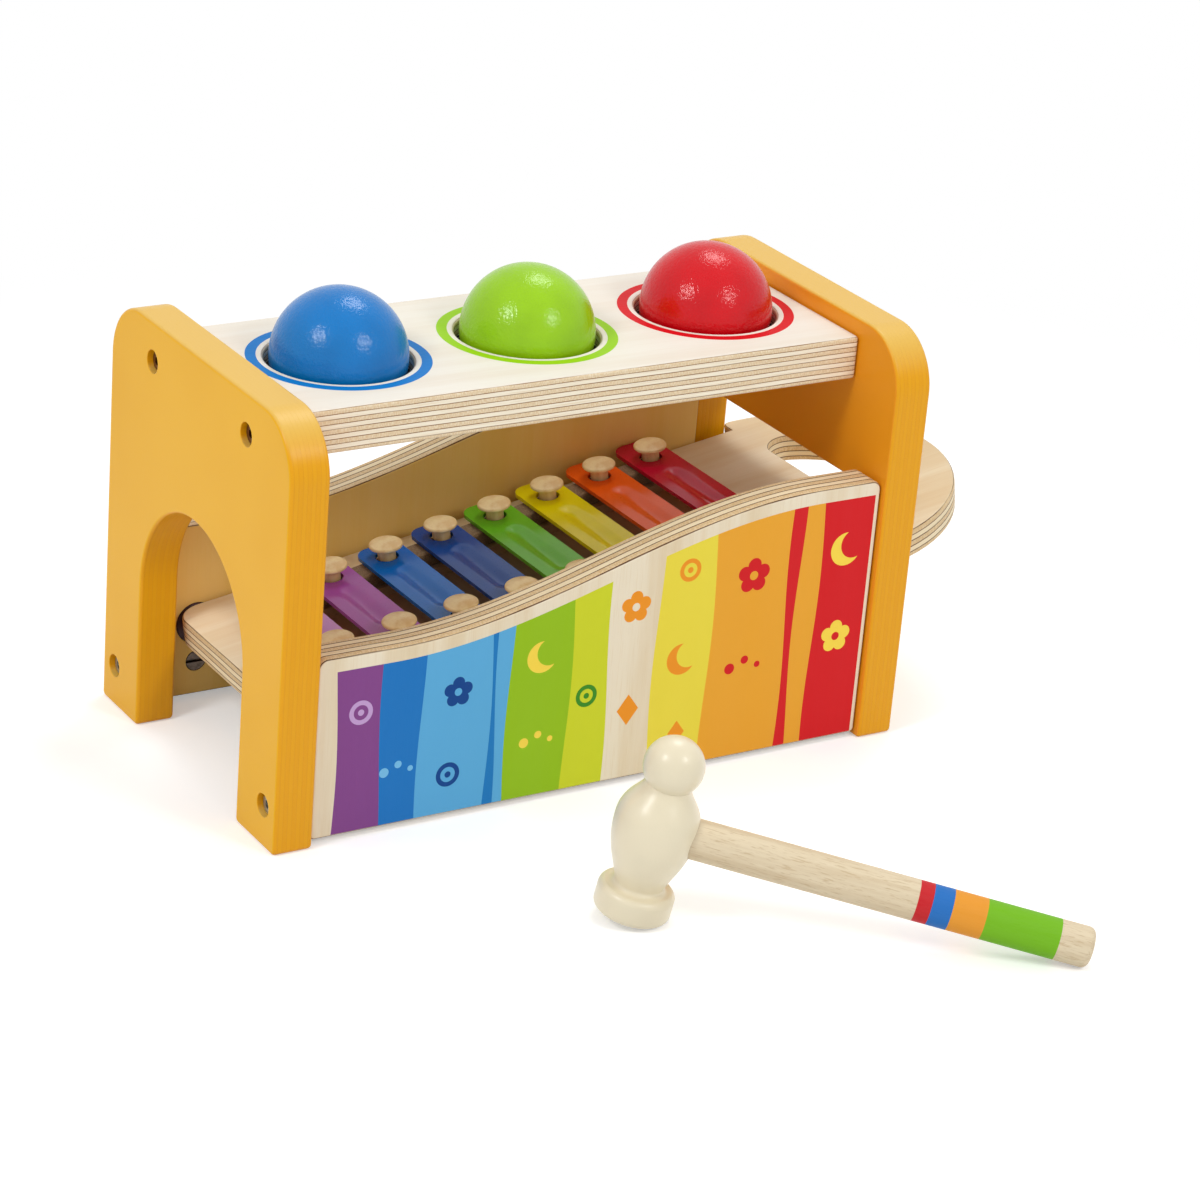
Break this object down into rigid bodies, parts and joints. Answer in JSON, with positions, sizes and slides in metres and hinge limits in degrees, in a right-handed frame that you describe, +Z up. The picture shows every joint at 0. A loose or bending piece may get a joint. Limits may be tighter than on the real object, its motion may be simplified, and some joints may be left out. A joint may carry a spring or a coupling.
{
  "type": "toy pounding bench with xylophone",
  "caption": "Wooden pounding bench: mallet, balls held in holes of a top board, and a sloping slide-out xylophone tray that they roll down to an arch.",
  "frame": {"origin": "middle of the whole set's footprint, mallet included, on the floor that the set stands on", "axes": "+X runs along the bench from the arched end to the tray's pull end, +Y from the mallet's side to the back, +Z up"},
  "size_m": [0.2894, 0.2944, 0.1619],
  "materials": {
    "printed_panel": "clear lacquered birch plywood printed with coloured bands",
    "zinc_steel": "zinc plated",
    "dark_peg": "dark stained dowel",
    "blue_ball_paint": "gloss blue paint on turned wood",
    "ball_ring_rubber": "matt black rubber",
    "blue_bar_paint": "gloss blue powder coat on pressed steel",
    "turned_wood": "turned pale hardwood, bare",
    "felt": "dark felt",
    "green_ball_paint": "gloss green paint on turned wood",
    "green_bar_paint": "gloss green powder coat on pressed steel",
    "orange_paint": "satin orange-yellow paint on plywood",
    "lilac_bar_paint": "gloss lilac powder coat on pressed steel",
    "mallet_handle_wood": "pale hardwood dowel with painted bands",
    "mallet_head_lacquer": "cream gloss lacquer on turned wood",
    "navy_bar_paint": "gloss navy powder coat on pressed steel",
    "orange_bar_paint": "gloss orange powder coat on pressed steel",
    "purple_bar_paint": "gloss purple powder coat on pressed steel",
    "red_ball_paint": "gloss red paint on turned wood",
    "red_bar_paint": "gloss red powder coat on pressed steel",
    "printed_board": "clear lacquered birch plywood with printed rings round the holes",
    "tray_ply": "clear lacquered birch plywood",
    "yellow_bar_paint": "gloss yellow powder coat on pressed steel"
  },
  "bodies": {
    "bench": {"back_panel": "printed_panel", "back_panel_left_nut": "zinc_steel", "back_panel_left_support_peg": "dark_peg", "back_panel_right_nut": "zinc_steel", "back_panel_right_support_peg": "dark_peg", "back_panel_stop_peg": "dark_peg", "blue_ball_ring": "ball_ring_rubber", "front_panel": "printed_panel", "front_panel_left_nut": "zinc_steel", "front_panel_left_support_peg": "dark_peg", "front_panel_right_nut": "zinc_steel", "front_panel_right_support_peg": "dark_peg", "front_panel_stop_peg": "dark_peg", "green_ball_ring": "ball_ring_rubber", "left_end_panel": "orange_paint", "left_front_bolt": "zinc_steel", "left_front_screw": "zinc_steel", "left_rear_bolt": "zinc_steel", "left_rear_screw": "zinc_steel", "red_ball_ring": "ball_ring_rubber", "right_end_panel": "orange_paint", "right_front_bolt": "zinc_steel", "right_front_screw": "zinc_steel", "right_rear_bolt": "zinc_steel", "right_rear_screw": "zinc_steel", "top_board": "printed_board"},
    "tray": {"blue_bar": "blue_bar_paint", "blue_bar_front_post": "turned_wood", "blue_bar_rear_post": "turned_wood", "front_felt_strip": "felt", "green_bar": "green_bar_paint", "green_bar_front_post": "turned_wood", "green_bar_rear_post": "turned_wood", "lilac_bar": "lilac_bar_paint", "lilac_bar_front_post": "turned_wood", "lilac_bar_rear_post": "turned_wood", "navy_bar": "navy_bar_paint", "navy_bar_front_post": "turned_wood", "navy_bar_rear_post": "turned_wood", "orange_bar": "orange_bar_paint", "orange_bar_front_post": "turned_wood", "orange_bar_rear_post": "turned_wood", "purple_bar": "purple_bar_paint", "purple_bar_front_post": "turned_wood", "purple_bar_rear_post": "turned_wood", "rear_felt_strip": "felt", "red_bar": "red_bar_paint", "red_bar_front_post": "turned_wood", "red_bar_rear_post": "turned_wood", "tray_board": "tray_ply", "yellow_bar": "yellow_bar_paint", "yellow_bar_front_post": "turned_wood", "yellow_bar_rear_post": "turned_wood"},
    "blue_ball": {"blue_ball": "blue_ball_paint"},
    "green_ball": {"green_ball": "green_ball_paint"},
    "red_ball": {"red_ball": "red_ball_paint"},
    "mallet": {"mallet_head": "mallet_head_lacquer", "mallet_handle": "mallet_handle_wood"}
  },
  "joints": [
    {"name": "tray_slide", "type": "slide", "parent": "bench", "child": "tray", "axis": [0.9871, 0, 0.1602], "range_m": [0, 0.222]},
    {"name": "blue_ball_drop", "type": "slide", "parent": "bench", "child": "blue_ball", "axis": [0, 0, 1], "range_m": [-0.0688, 0.05], "deforming": ["blue_ball_ring"]},
    {"name": "green_ball_drop", "type": "slide", "parent": "bench", "child": "green_ball", "axis": [0, 0, 1], "range_m": [-0.0574, 0.05], "deforming": ["green_ball_ring"]},
    {"name": "red_ball_drop", "type": "slide", "parent": "bench", "child": "red_ball", "axis": [0, 0, 1], "range_m": [-0.0461, 0.05], "deforming": ["red_ball_ring"]},
    {"name": "mallet_lift", "type": "slide", "parent": "bench", "child": "mallet", "axis": [0, 0, 1], "range_m": [0, 0.15]}
  ]
}
